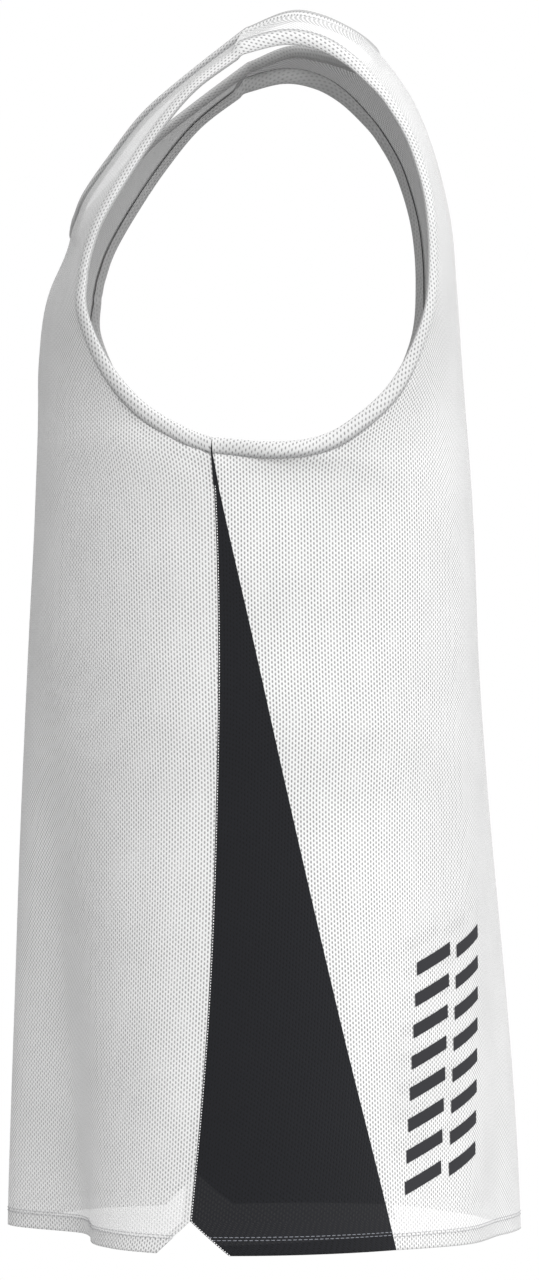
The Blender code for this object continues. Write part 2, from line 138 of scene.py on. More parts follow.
BACK_YOKE = (
    ((0.1905, -0.0008, -0.2482), (0.000, 0.1200, -0.2860), (0.189, 0.1200), 0.58, 2),
    ((0.1890, 0.0275, -0.2451), (0.000, 0.1184, -0.2610), (0.184, 0.1184), 0.58, 2),
    ((0.1875, 0.0480, -0.2340), (0.000, 0.1163, -0.2340), (0.176, 0.1163), 0.58, 2),
    ((0.1850, 0.0700, -0.2130), (0.000, 0.1137, -0.2000), (0.164, 0.1140), 0.58, 2),
    ((0.1820, 0.0876, -0.1780), (0.000, 0.1105, -0.1580), (0.148, 0.1118), 0.58, 2),
    ((0.1780, 0.0915, -0.1440), (0.000, 0.1060, -0.1130), (0.135, 0.1080), 0.56, 2),
    ((0.1725, 0.0890, -0.1090), (0.000, 0.0945, -0.0720), (0.120, 0.1000), 0.52, 2),
    ((0.1670, 0.0800, -0.0780), (0.000, 0.0790, -0.0370), (0.105, 0.0880), 0.50, 2),
    ((0.1600, 0.0676, -0.0553), (0.000, 0.0642, -0.0145), (0.095, 0.0735), 0.50, 2),
    ((0.1570, 0.0570, -0.0430), (0.055, 0.0608, -0.0130), (0.110, 0.0650), 0.50, 2),
    ((0.1535, 0.0429, -0.0308), (0.100, 0.0500, -0.0085), (0.128, 0.0510), 0.50, 2),
    ((0.1510, 0.0269, -0.0228), (0.1230, 0.0290, -0.0005), (0.138, 0.0300), 0.50, 2),
    ((0.1502, 0.0080, -0.0202), (0.1262, 0.0110, 0.0010), (0.140, 0.0100), 0.50, 2),
    ((0.1530, -0.0163, -0.0259), (0.1270, -0.0131, -0.0090), (0.140, -0.0150), 0.50, 0),
)
BACK_NECK_ROW = 8
ARM_RUN = (-0.0036, 0.0255, 0.0125)  # which way the two edges of the strap run at the shoulder seam
NECK_RUN = (0.0030, 0.0300, 0.0190)
NECK_EASE = 0.060  # how far below the neck the cloth makes room for the binding
FIGURE_ROWS = (2 * DETAIL, 14 * DETAIL)  # above the armpit, where the figure's plan gives way to the table's

# Soft troughs (depth over 0) and ridges (under 0) that run down the body: where the line of each
# starts and ends across it, how wide it is towards -X and +X, and over which heights it grows.
FOLD_COLUMNS = ("side", "top_x", "low_x", "depth", "minus_width", "plus_width", "top", "full")
FOLDS = (
    ("front", 0.098, 0.064, 0.0380, 0.034, 0.066, -0.360, -0.720),
    ("front", 0.020, 0.004, -0.0030, 0.016, 0.020, -0.420, -0.700),
    ("front", -0.110, -0.095, 0.0050, 0.030, 0.034, -0.360, -0.640),
    ("front", -0.045, -0.036, 0.0035, 0.024, 0.026, -0.470, -0.700),
    ("front", -0.060, -0.150, -0.0030, 0.030, 0.026, -0.300, -0.600),
    ("back", 0.030, 0.062, 0.0045, 0.026, 0.034, -0.330, -0.680),
    ("back", 0.100, 0.128, -0.0035, 0.026, 0.022, -0.400, -0.700),
    ("back", -0.040, -0.055, 0.0055, 0.034, 0.028, -0.300, -0.660),
    ("back", -0.105, -0.122, 0.0035, 0.022, 0.024, -0.440, -0.700),
    ("back", 0.004, -0.004, -0.0025, 0.024, 0.020, -0.380, -0.620),
)

SIDES = {"front_panel": -1, "back_panel": 1}
HANDS = ((1, "left"), (-1, "right"))

# Turned-up hem and seam allowances, inside the cloth
HEM_TURN = 0.009
HEM_GAP = 0.0009  # from the panel to its turned-up hem
HEM_CELLS = 4
ALLOWANCE = 0.0052  # seam allowance, pressed back inside the white panels
ALLOWANCE_DEEP = 0.0005
ALLOWANCE_CELLS = 2
WELD = 0.00001  # points nearer than this are one

# Rounding of the cloth along one row
SOFT_EDGE = 0.012  # from an edge, where the rounding is whole
SOFT_REACH = 0.040
SOFT_LIMIT = 3  # in reaches, past which nothing is rounded
SOFT_WIDTH = 0.020
SOFT_STEP = 0.001

# The knit's holes, on the flat cloth
DOT_PITCH = (0.0036, 0.0027)  # they stand in a staggered grid, across and along
STRIP_DOT_PITCH = (0.0034, 0.0026)
GRAIN_LEAN = 0.35  # how far the grain leans over the shoulder
GRAIN_RISE = 0.20  # height above the armpit over which it comes to lean so
GRAIN_EASE = 8  # points on either side over which a strip's grain is evened
GRAIN_BESIDE = 3  # columns from an edge to the points that show its grain
GRAIN_TRUE = 4  # the first point along an edge where the lattice runs true
STRAP_FROM = -0.11  # height on the armhole's edge above which the lattice follows the strap

# Folded binding strips
BINDING_SIDES = 24
ROLL_FULL = 0.35  # how much fuller than round each half of the strip is
LIP_FROM = 0.95  # share of the strip's width where its sewn lip lifts off the panel
LIP_SPAN = 0.05
LIP_LIFT = 0.0003
STRIP_EASE = 1.1  # the strip's own length round its fold, for each width of binding
PAINTED_SEAM_SHADE_FULL = 0.84  # of the strip's outer half, where the painted shade along the seam is deepest
NECK_PAST = 6  # sides past the fold that the neck's painted inner shade still covers

# Thread
STITCH = (0.0031, 0.0024)  # pitch and length
STITCH_THICK = 0.00025
STITCH_ABOVE = 0.5  # of its thickness, how far a stitch's middle lies above the cloth
STITCH_SIDES = 6
STITCH_FORM = ((-0.5, 0.3), (-0.3, 1.0), (0.3, 1.0), (0.5, 0.3))  # rings: share of length, of thickness
ASKEW = (0.31, 0.17, 0.93)  # a direction that no stitch runs in
NEEDLE_IN = 0.0004  # from the hem's raw edge down to the lower row
NEEDLE_GAP = 0.0017  # between the two rows of the twin needle
EDGE_STITCH = (0.0016, 0.0009)
EDGE_STITCH_IN = 0.0008

# The print: slanted bars in two staggered columns beside each back seam
PRINT_ROWS_BELOW = 60  # grid rows of the panel that it lies on, from the hem
PRINT_BARS = 8
PRINT_CELLS = (3, 7)  # up and across one bar
PRINT_TOP = -0.534
PRINT_PITCH = 0.0178
PRINT_HIGH = 0.0075
PRINT_LONG = 0.031
PRINT_SPACE = 0.006  # between the columns
PRINT_SLANT = 0.011
PRINT_LEAN = 0.11  # how far the columns move out for each metre down
PRINT_INNER = 0.103  # from the back's centre line, across the cloth
PRINT_LIFT = 0.0003

# The gore's point, which runs out over the armhole binding
POINT_WIDEN = 0.115  # its width for its length
POINT_RING = 0.82  # how much of the binding's outer half it crosses
POINT_CELLS = 7  # from the binding down to the gore
POINT_GORE = 0.0035  # width of the gore where the point starts
POINT_LIFT = 0.0005

# The knits, by what they give the eye: colours of the yarn, of a hole's rim and of a painted shade
# multiplied over the side turned in, shares that show through the yarn, more through a hole and that glow
# through, the two reaches between which a hole fades, in cells, the cell's size, and how dark the painted
# shade along the strip's seam is.
KNIT_COLUMNS = ("yarn", "rim", "inside", "open", "hole_open", "glow", "reaches", "pitch", "seam")
KNITS = {
    # dry, even white with rows of soft grey dots, through which the far side shows faintly; its turned-in
    # side carries painted shade, deeper on the back panel's copy
    "white_polyester_micro_mesh_front_painted_inside_shade": (
        "#EFEFEF", "#ACACAC", "#B2B2B2", 0.10, 0.36, 0.05, (0.15, 0.38), DOT_PITCH, 0.0
    ),
    "white_polyester_micro_mesh_back_painted_deeper_inside_shade": (
        "#EFEFEF", "#ACACAC", "#7C7C7C", 0.10, 0.36, 0.05, (0.15, 0.38), DOT_PITCH, 0.0
    ),
    # the same knit dyed near black: its holes barely show, and it shows nearly nothing behind it; its
    # turned-in side carries painted shade
    "near_black_polyester_micro_mesh": (
        "#15161B", "#060709", "#C8C8C8", 0.004, 0.02, 0.05, (0.14, 0.34), DOT_PITCH, 0.0
    ),
    # doubled strip: closed, with firmer dots and painted shade along its seam
    "white_binding_knit": (
        "#DCDCDC", "#8C8C8C", "#B4B4B4", 0.0, 0.05, 0.03, (0.12, 0.32), STRIP_DOT_PITCH, 0.45
    ),
    # the strip's inner halves, painted darker as shade, since they get only the light that comes through the
    # openings
    "armhole_binding_knit_inner_half_painted_shade": (
        "#C4C4C4", "#ABABAB", "#B4B4B4", 0.0, 0.05, 0.03, (0.12, 0.34), STRIP_DOT_PITCH, 0.0
    ),
    "neck_binding_knit_inner_half_painted_shade": (
        "#ACACAC", "#949494", "#B4B4B4", 0.0, 0.05, 0.03, (0.12, 0.34), STRIP_DOT_PITCH, 0.2
    ),
}
HOLE_FORM = (2.1, 0.86, 0)  # a hole is narrow across the cloth and long down it
HOLE_MARK = 0.85  # how far a hole takes the colour of its rim
CLOUDING = 0.16  # how far the colour wanders over the cloth
YARN_RELIEF = 0.35  # the yarn's relief, for that of a hole
PAINTED_SEAM_SHADE_SPAN = (0.66, 0.98)  # share of the strip's half over which the painted shade along the seam darkens
# colour of the painted shade along the strip's seam
PAINTED_SEAM_SHADE_COLOUR = "#3A3B3F"

# Studio
SENSOR = 36.0
CAMERA_FAR = 4.4
CAMERA_HEIGHT = -0.3606
PIXELS_PER_METRE = 1690
PICTURE_HEIGHT = 1280
FLOOR_HEIGHT = -1.1
FLOOR_SIZE = 3.0
SKY_LEVEL = 0.55  # strength of the light from the sides, which grows along the slope
SKY_SLOPE = (0.59, 0.60, 1.15)
SKY_LEAST = 0.05
LAMP_PLACE = (3.1, 1.1, 1.8)
LAMP_AIM = (0, 0, -0.36)
LAMP_SIZE = 1.5
LAMP_POWER = 30.0


def column(table, names, name):
    """One column of a table whose columns have these names."""
    return np.array([row[names.index(name)] for row in table], float)


def smooth(stations, values, at):
    """Values at the stations at, on a smooth curve through values that never runs past its neighbours."""
    values = np.asarray(values, float)
    if values.ndim == 2:
        return np.column_stack([smooth(stations, values[:, i], at) for i in range(values.shape[1])])
    steps = np.diff(stations)
    slopes = np.diff(values) / steps
    tangents = np.empty(len(values))
    tangents[0] = slopes[0]
    tangents[-1] = slopes[-1]
    for i in range(1, len(values) - 1):
        tangents[i] = (slopes[i - 1] * steps[i] + slopes[i] * steps[i - 1]) / (steps[i - 1] + steps[i])
    cell = np.clip(np.searchsorted(stations, at, side="right") - 1, 0, len(steps) - 1)
    width = steps[cell]
    t = (at - np.asarray(stations)[cell]) / width
    return (
        (2 * t**3 - 3 * t**2 + 1) * values[cell]
        + (t**3 - 2 * t**2 + t) * width * tangents[cell]
        + (3 * t**2 - 2 * t**3) * values[cell + 1]
        + (t**3 - t**2) * width * tangents[cell + 1]
    )


def at_height(table, names, name, height):
    """A column of a table by level, read at one height."""
    heights = column(table, names, "height")
    return float(smooth(heights, column(table, names, name), np.array([height]))[0])


def side_breadth(y, height):
    """How far out the figure's side lies at this depth and height, and how fast that falls with depth."""
    breadth = at_height(LEVELS, LEVEL_COLUMNS, "half_breadth", height)
    depth = at_height(LEVELS, LEVEL_COLUMNS, "front" if y < 0 else "back", height)
    square = at_height(LEVELS, LEVEL_COLUMNS, "square", height)
    share = abs(y) / depth
    rest = 1 - share**square
    fall = breadth / depth * share ** (square - 1) * rest ** (1 / square - 1)
    return breadth * rest ** (1 / square), fall


def body_row(y, height, centre_height, side):
    """The ends and the bulge of a row that runs from the point of the side at this depth to the centre.

    side is -1 for the front and 1 for the back.
    """
    x, fall = side_breadth(y, height)
    reach = at_height(LEVELS, LEVEL_COLUMNS, "front" if side < 0 else "back", centre_height)
    toward = max(side * y, 0)
    bulge_x = x - (fall if side * y > 0 else 0) * (reach - toward)
    return (x, y, height), (0.0, side * reach, centre_height), (bulge_x, side * reach)


def body_rows(side):
    """Every grid row of a panel from hem to armpit, as its ends, its bulge and its fullness."""
    table = FRONT_BODY if side < 0 else BACK_BODY
    seam = "front_seam" if side < 0 else "back_seam"
    counts = DETAIL * column(table, BODY_COLUMNS, "rows").astype(int)
    stations = np.concatenate([[0], np.cumsum(counts[:-1])])
    at = np.arange(stations[-1] + 1)
    heights = np.interp(at, stations, column(table, BODY_COLUMNS, "seam_height"))
    centres = np.interp(at, stations, column(table, BODY_COLUMNS, "centre_height"))
    fullness = np.interp(at, stations, column(table, BODY_COLUMNS, "fullness"))
    rows = []
    for height, centre, full in zip(heights, centres, fullness):
        y = at_height(SEAMS, SEAM_COLUMNS, seam, height)
        rows.append((*body_row(y, height, centre, side), full))
    if side < 0:
        corner = (*body_row(VENT_FRONT, HEM_FRONT, VENT_CENTRE, side), VENT_FULLNESS)
        vent = []
        for share in np.linspace(0, 1, VENT_ROWS, endpoint=False):
            ends = zip(corner, rows[0])
            vent.append([np.array(low) + (np.array(high) - np.array(low)) * share for low, high in ends])
        rows = [*vent, *rows]
    return rows


def yoke_rows(side, armpit):
    """Every grid row of a panel above its armpit row, up to the shoulder seam, and which is the neck's."""
    table = FRONT_YOKE if side < 0 else BACK_YOKE
    neck = 1 + (FRONT_NECK_ROW if side < 0 else BACK_NECK_ROW)
    sections = [armpit, *(row[: YOKE_COLUMNS.index("rows")] for row in table)]
    counts = [ARMPIT_ROWS, *(DETAIL * column(table, YOKE_COLUMNS, "rows").astype(int))]
    stations = np.concatenate([[0], np.cumsum(counts[:-1])])
    at = np.arange(1, stations[-1] + 1)
    columns = []
    for key in range(len(sections[0])):
        values = np.array([section[key] for section in sections], float)
        turns = [0, neck, len(sections) - 1] if key == 1 else [0, len(sections) - 1]
        found = np.zeros((len(at),) + values.shape[1:])
        for start, end in zip(turns[:-1], turns[1:]):
            inside = (at >= stations[start]) & (at <= stations[end])
            found[inside] = smooth(stations[start : end + 1], values[start : end + 1], at[inside])
        columns.append(found)
    return list(zip(*columns)), stations[neck] - 1


def unit(vector):
    """The vector's direction."""
    return vector / np.linalg.norm(vector)


def into_cloth(edge, toward, last):
    """At each point of an edge, the direction square to the edge that leads into the cloth.

    last is the way that the edge runs at its upper end, where the other panel carries it on.
    """
    along = np.gradient(edge, axis=0)
    along[-1] = last
    found = []
    for tangent, lead in zip(along, toward):
        tangent = unit(tangent)
        found.append(unit(lead - tangent * lead.dot(tangent)))
    return np.array(found)


def fold_shift(point, side):
    """How far the troughs and ridges of this side move a point of the cloth inward."""
    x, _, z = point
    moved = 0.0
    for row in FOLDS:
        fold = dict(zip(FOLD_COLUMNS, row))
        share = min(max((fold["top"] - z) / (fold["top"] - fold["full"]), 0.0), 1.0)
        if fold["side"] != ("front" if side < 0 else "back") or share == 0:
            continue
        off = x - (fold["top_x"] + (fold["low_x"] - fold["top_x"]) * share)
        width = fold["minus_width"] if off < 0 else fold["plus_width"]
        moved += fold["depth"] * share**FOLD_GROWTH * math.exp(-((off / width) ** 2))
    return moved


def bezier_shares(t):
    """How much each of a cubic curve's four points counts at t."""
    return (1 - t) ** 3, 3 * (1 - t) ** 2 * t, 3 * (1 - t) * t**2, t**3


def figure_plan(row, seam, fullness, side):
    """The plan of a row above the armpit, as the part of a whole row of the figure past its outer end."""
    t = np.linspace(0, 1, FINE)
    reach = row[-1, 1]
    seam_share, seam_pull, centre_pull, centre_share = bezier_shares(t)
    whole_x = seam[0] * (seam_share + seam_pull + centre_pull * fullness)
    whole_y = seam[1] * (seam_share + seam_pull * (1 - fullness))
    whole_y += reach * (seam_pull * fullness + centre_pull + centre_share)
    start = np.interp(side * row[0, 1], side * whole_y, t)
    at = start + (1 - start) * np.linspace(0, 1, len(row))
    plan = np.column_stack([np.interp(at, t, whole_x), np.interp(at, t, whole_y)])
    return plan + (row[0, :2] - plan[0]) * ((1 - np.linspace(0, 1, len(row))) ** 2)[:, None]


def half_panel(side, hand):
    """The grid of one half of a panel, its armhole fold and its neck fold. hand is 1 on the left half."""
    body = body_rows(side)
    (x, y, _), *rest = body[-1]
    yoke, neck = yoke_rows(side, ((x, y, ARMPIT_FOLD), *rest))
    rows = body + yoke
    armpit = len(body) - 1
    neck += len(body)
    outer, inner = np.array([row[0] for row in rows]), np.array([row[1] for row in rows])
    drop = FRONT_DROP if side < 0 else BACK_DROP
    bulge = np.array([(*row[2], row[0][2] + (row[1][2] - row[0][2]) * drop) for row in rows])
    full = np.array([row[3] for row in rows])[:, None]

    # The edges move in from the binding's folds.
    seam_end = outer[armpit].copy()
    outer[armpit, 2] = ARMPIT_FOLD
    arm_fold, neck_fold = outer[armpit:].copy(), inner[neck:].copy()
    arm_lead = into_cloth(arm_fold, (bulge - outer)[armpit:], ARM_RUN)
    arm_lead[0] = unit(seam_end - arm_fold[0])
    neck_lead = into_cloth(neck_fold, (outer - inner)[neck:], NECK_RUN)
    inset = BINDING_WIDTH - UNDER_BINDING
    outer[armpit:] += inset * arm_lead
    outer[armpit] = seam_end
    below = np.linalg.norm(inner[:neck] - inner[neck], axis=1)[:, None]
    inner[:neck] += inset * neck_lead[0] * [0, 1, 1] * np.clip(1 - below / NECK_EASE, 0, 1) ** 2
    inner[neck:] += inset * neck_lead

    points = (outer, outer + full * (bulge - outer), inner + full * (bulge - inner), inner)
    shares = bezier_shares(np.linspace(0, 1, ACROSS + 1)[None, :, None])
    grid = sum(share * point[:, None] for share, point in zip(shares, points))
    for j in range(1, FIGURE_ROWS[1]):
        share = min((FIGURE_ROWS[1] - j) / (FIGURE_ROWS[1] - FIGURE_ROWS[0]), 1.0)
        share = share * share * (3 - 2 * share)
        plan = figure_plan(grid[armpit + j], outer[armpit], full[armpit, 0], side)
        grid[armpit + j, :, :2] += (plan - grid[armpit + j, :, :2]) * share
    for points in grid:
        for i, point in enumerate(points):
            point[0] *= hand
            fade = min(i / EDGE_CELLS, 1.0)
            point[1] -= side * fade * fold_shift(point, side)
    mirror = [hand, 1, 1]
    return grid, (arm_fold * mirror, arm_lead * mirror), (neck_fold * mirror, neck_lead * mirror)


def gore_grid(heights, hand):
    """The outside of a side gore, from the vent and hem up to its point under the armhole binding."""
    grid = []
    for i, height in enumerate(heights):
        front = at_height(SEAMS, SEAM_COLUMNS, "front_seam", height)
        back = at_height(SEAMS, SEAM_COLUMNS, "back_seam", height)
        front_height = height
        if i < VENT_ROWS:
            share = i / VENT_ROWS
            front = VENT_BACK + (front - VENT_BACK) * share
            front_height = GORE_HEM + (VENT_TOP - GORE_HEM) * share
        row = []
        for share in np.linspace(0, 1, GORE_ACROSS + 1):
            y = front + (back - front) * share
            z = front_height + (height - front_height) * share
            row.append((hand * side_breadth(y, z)[0], y, z))
        grid.append(row)
    return np.array(grid)


def linear(hex_code):
    """The linear colour of an sRGB hex code."""
    values = [int(hex_code[i : i + 2], 16) / 255 for i in (1, 3, 5)]
    return (*(v / 12.92 if v <= 0.04045 else ((v + 0.055) / 1.055) ** 2.4 for v in values), 1.0)


def add(tree, kind, links=(), **settings):
    """Adds a node with its settings, and its inputs as values or as links from outputs or nodes."""
    made = tree.nodes.new(kind)
    for name, value in settings.items():
        setattr(made, name, value)
    for name, value in dict(links).items():
        if isinstance(value, bpy.types.Node):
            value = value.outputs[0]
        if isinstance(value, bpy.types.NodeSocket):
            tree.links.new(value, made.inputs[name])
        else:
            made.inputs[name].default_value = value
    return made


def new_material(name):
    """An empty node material and its tree."""
    made = bpy.data.materials.new(name)
    made.use_nodes = True
    made.node_tree.nodes.clear()
    return made, made.node_tree


def knit_mesh(name):
    """Polyester micro-mesh: a warp knit whose small holes stand in a staggered grid.

    The filament gives a dry, even colour with a faint sheen, and the holes read as rows of grey dots.
    """
    knit = dict(zip(KNIT_COLUMNS, KNITS[name]))
    yarn_colour, rim_colour, painted_inside_shade = (linear(knit[key]) for key in ("yarn", "rim", "inside"))
    in_colour = {"data_type": "RGBA"}
    clamped_sum = {"operation": "MULTIPLY_ADD", "use_clamp": True}
    made, tree = new_material(name)
    place = add(tree, "ShaderNodeUVMap", uv_map="cloth")
    cells = (1 / knit["pitch"][0], 1 / knit["pitch"][1], 0)
    grid = add(tree, "ShaderNodeVectorMath", {0: place, 1: cells}, operation="MULTIPLY")
    nearest = []
    for shift in (0.0, 0.5):
        moved = add(tree, "ShaderNodeVectorMath", {0: grid, 1: (shift, shift, 0)}, operation="ADD")
        cell = add(tree, "ShaderNodeVectorMath", {0: moved}, operation="FRACTION")
        middle = add(tree, "ShaderNodeVectorMath", {0: cell, 1: (0.5, 0.5, 0)}, operation="SUBTRACT")
        oval = add(tree, "ShaderNodeVectorMath", {0: middle, 1: HOLE_FORM}, operation="MULTIPLY")
        reach = add(tree, "ShaderNodeVectorMath", {0: oval}, operation="LENGTH")
        nearest.append(reach.outputs["Value"])
    reach = add(tree, "ShaderNodeMath", {0: nearest[0], 1: nearest[1]}, operation="MINIMUM")
    full, gone = knit["reaches"]
    fading = {"Value": reach, "From Min": full, "From Max": gone, "To Min": 1.0, "To Max": 0.0}
    hole = add(tree, "ShaderNodeMapRange", fading, interpolation_type="SMOOTHSTEP")
    yarn = add(tree, "ShaderNodeTexNoise", {"Vector": grid, "Scale": 5.0, "Detail": 2.0})
    cloud = add(tree, "ShaderNodeTexNoise", {"Vector": grid, "Scale": 0.045, "Detail": 3.0})
    wander = {"Value": cloud.outputs["Fac"], "From Min": 0.3, "From Max": 0.7, "To Max": CLOUDING}
    tone = add(tree, "ShaderNodeMapRange", wander)
    mark = add(tree, "ShaderNodeMath", {0: hole, 1: HOLE_MARK, 2: tone}, **clamped_sum)
    colour = add(tree, "ShaderNodeMix", {"Factor": mark, 6: yarn_colour, 7: rim_colour}, **in_colour)
    # Painted shade: the strip darkens towards its seam, by how far each point lies across it.
    strip = add(tree, "ShaderNodeUVMap", uv_map="across")
    share = add(tree, "ShaderNodeSeparateXYZ", {0: strip})
    painted_seam_shade_range = {"Value": share, "From Min": PAINTED_SEAM_SHADE_SPAN[0], "From Max": PAINTED_SEAM_SHADE_SPAN[1], "To Max": knit["seam"]}
    painted_seam_shade = add(tree, "ShaderNodeMapRange", painted_seam_shade_range, interpolation_type="SMOOTHSTEP")
    closed = {"Factor": painted_seam_shade, 6: colour.outputs[2], 7: linear(PAINTED_SEAM_SHADE_COLOUR)}
    colour_with_painted_seam_shade = add(tree, "ShaderNodeMix", closed, **in_colour).outputs[2]
    # Painted shade: the side of the cloth turned away from the eye has the inside colour multiplied over it.
    painted_inside_shade_mix = {"Factor": 1.0, 6: colour_with_painted_seam_shade, 7: painted_inside_shade}
    colour_with_painted_inside_shade = add(tree, "ShaderNodeMix", painted_inside_shade_mix, blend_type="MULTIPLY", **in_colour).outputs[2]
    behind = add(tree, "ShaderNodeNewGeometry").outputs["Backfacing"]
    seen = add(tree, "ShaderNodeMix", {"Factor": behind, 6: colour_with_painted_seam_shade, 7: colour_with_painted_inside_shade}, **in_colour).outputs[2]
    height = {0: yarn.outputs["Fac"], 1: YARN_RELIEF, 2: hole}
    relief = add(tree, "ShaderNodeMath", height, operation="MULTIPLY_ADD")
    flipped = add(tree, "ShaderNodeMath", {0: 1.0, 1: relief}, operation="SUBTRACT")
    bump = add(tree, "ShaderNodeBump", {"Height": flipped, "Strength": 0.55, "Distance": 0.0004})
    face = add(
        tree,
        "ShaderNodeBsdfPrincipled",
        {
            "Base Color": seen,
            "Roughness": 0.82,
            "IOR": 1.5,
            "Specular IOR Level": 0.25,
            "Sheen Weight": 0.12,
            "Sheen Roughness": 0.5,
            "Normal": bump,
        },
    )
    glow = add(tree, "ShaderNodeBsdfTranslucent", {"Color": seen})
    cloth = add(tree, "ShaderNodeMixShader", {0: knit["glow"], 1: face, 2: glow})
    clear = add(tree, "ShaderNodeBsdfTransparent")
    gaps = add(tree, "ShaderNodeMath", {0: hole, 1: knit["hole_open"], 2: knit["open"]}, **clamped_sum)
    whole = add(tree, "ShaderNodeMixShader", {0: gaps, 1: cloth, 2: clear})
    add(tree, "ShaderNodeOutputMaterial", {"Surface": whole})
    return made


def plain_material(name, colour, roughness):
    """Spun polyester thread, printed ink or paper: one matt colour with a fine grain in its roughness."""
    made, tree = new_material(name)
    place = add(tree, "ShaderNodeTexCoord")
    grain = add(tree, "ShaderNodeTexNoise", {"Vector": place.outputs["Object"], "Scale": 2500.0})
    spread = {"Value": grain.outputs["Fac"], "To Min": roughness - 0.1, "To Max": roughness + 0.1}
    rough = add(tree, "ShaderNodeMapRange", spread)
    face = add(
        tree,
        "ShaderNodeBsdfPrincipled",
        {"Base Color": linear(colour), "Specular IOR Level": 0.3, "Roughness": rough},
    )
    add(tree, "ShaderNodeOutputMaterial", {"Surface": face})
    return made


def outward(grid, flip):
    """The outward normal at every point of a grid."""
    normals = np.cross(np.gradient(grid, axis=1), np.gradient(grid, axis=0))
    normals /= np.linalg.norm(normals, axis=2, keepdims=True) + 1e-12
    return normals if flip else -normals


def lengths(grid, axis):
    """How far each point lies along its row or column from the first one."""
    steps = np.linalg.norm(np.diff(grid, axis=axis), axis=2)
    return np.concatenate([np.zeros_like(np.take(steps, [0], axis)), np.cumsum(steps, axis)], axis)


def mesh_object(name, bm, finishes):
    """An object of this name from a bmesh, with its materials."""
    mesh = bpy.data.meshes.new(name)
    bm.to_mesh(mesh)
    bm.free()
    for finish in finishes:
        mesh.materials.append(finish)
    piece = bpy.data.objects.new(name, mesh)
    bpy.context.scene.collection.objects.link(piece)
    return piece


def sheet_object(name, patches, *finishes):
    """A thin cloth shell, with one finish for each of its patches in turn.

    A patch is a grid of points, their places on the flat cloth and whether it faces the other way, and on
    a strip also how far each column lies across it, from the fold to the seam.
    """
    bm = bmesh.new()
    uv_layer = bm.loops.layers.uv.new("cloth")
    edge_layer = bm.loops.layers.uv.new("across")
    for k, (grid, places, flip, *across) in enumerate(patches):
        verts = [[bm.verts.new(point) for point in points] for points in grid]
        for r in range(len(verts) - 1):
            for i in range(len(verts[r]) - 1):
                spots = [(r, i), (r + 1, i), (r + 1, i + 1), (r, i + 1)]
                if flip:
                    spots.reverse()
                face = bm.faces.new([verts[a][b] for a, b in spots])
                face.smooth = True
                face.material_index = k % len(finishes)
                for loop, (a, b) in zip(face.loops, spots):
                    loop[uv_layer].uv = places[a, b]
                    loop[edge_layer].uv = (across[0][b], 0) if across else (0, 0)
    bmesh.ops.remove_doubles(bm, verts=bm.verts, dist=WELD)
    return mesh_object(name, bm, finishes)


def cloth_places(grid, normals, side):
    """Where each point of a half panel lies on the flat cloth: across from its centre line, and along."""
    lean = GRAIN_LEAN * np.clip((grid[..., 2] - ARMPIT_FOLD) / GRAIN_RISE, 0, 1)
    up = np.dstack([np.zeros_like(lean), -side * lean, np.ones_like(lean)])
    up -= normals * (up * normals).sum(axis=2, keepdims=True)
    up /= np.linalg.norm(up, axis=2, keepdims=True)
    over = np.cross(normals, up)
    places = np.zeros((*grid.shape[:2], 2))
    for k, way in enumerate((over, up)):
        rise = ((grid[1:, -1] - grid[:-1, -1]) * (way[1:, -1] + way[:-1, -1])).sum(axis=1) / 2
        step = ((grid[:, :-1] - grid[:, 1:]) * (way[:, :-1] + way[:, 1:])).sum(axis=2) / 2
        places[1:, -1, k] = np.cumsum(rise)
        places[:, :-1, k] = np.cumsum(step[:, ::-1], axis=1)[:, ::-1] + places[:, -1:, k]
    places[..., 0] *= math.copysign(1, places[0, 0, 0])
    strap = int(np.argmax(grid[:, 0, 2] > STRAP_FROM))
    places[strap:] = places[strap]
    places[strap:, :, 1] += lengths(grid[strap:], 0)
    return places


def hem_return(grid, normals, places):
    """The turned-up hem: from the fold at the lower edge, up inside the panel."""
    rise = places[:, :, 1] - places[:1, :, 1]
    there = np.dstack([grid, normals])
    rows = [grid[0]]
    flat = [places[0]]
    for share in np.linspace(0, 1, HEM_CELLS + 1):
        line = []
        for i in range(grid.shape[1]):
            spot = np.array([np.interp(HEM_TURN * share, rise[:, i], part) for part in there[:, i].T])
            line.append(spot[:3] - spot[3:] * HEM_GAP)
        rows.append(line)
        flat.append(places[0] - [0, HEM_TURN * share])
    return np.array(rows)[::-1], np.array(flat)[::-1]


def allowance(grid, normals, places):
    """A seam allowance pressed back inside its panel: from the seam, along each row."""
    reach = lengths(grid, 1)
    there = np.dstack([grid, normals, places])
    columns = []
    flat = []
    for away in ALLOWANCE * np.linspace(0, 1, ALLOWANCE_CELLS + 1):
        spots = [[np.interp(away, reach[j], part) for part in there[j].T] for j in range(len(grid))]
        spots = np.array(spots)
        columns.append(spots[:, :3] - spots[:, 3:6] * ALLOWANCE_DEEP)
        flat.append(spots[:, 6:])
    return np.array(columns).swapaxes(0, 1), np.array(flat).swapaxes(0, 1)


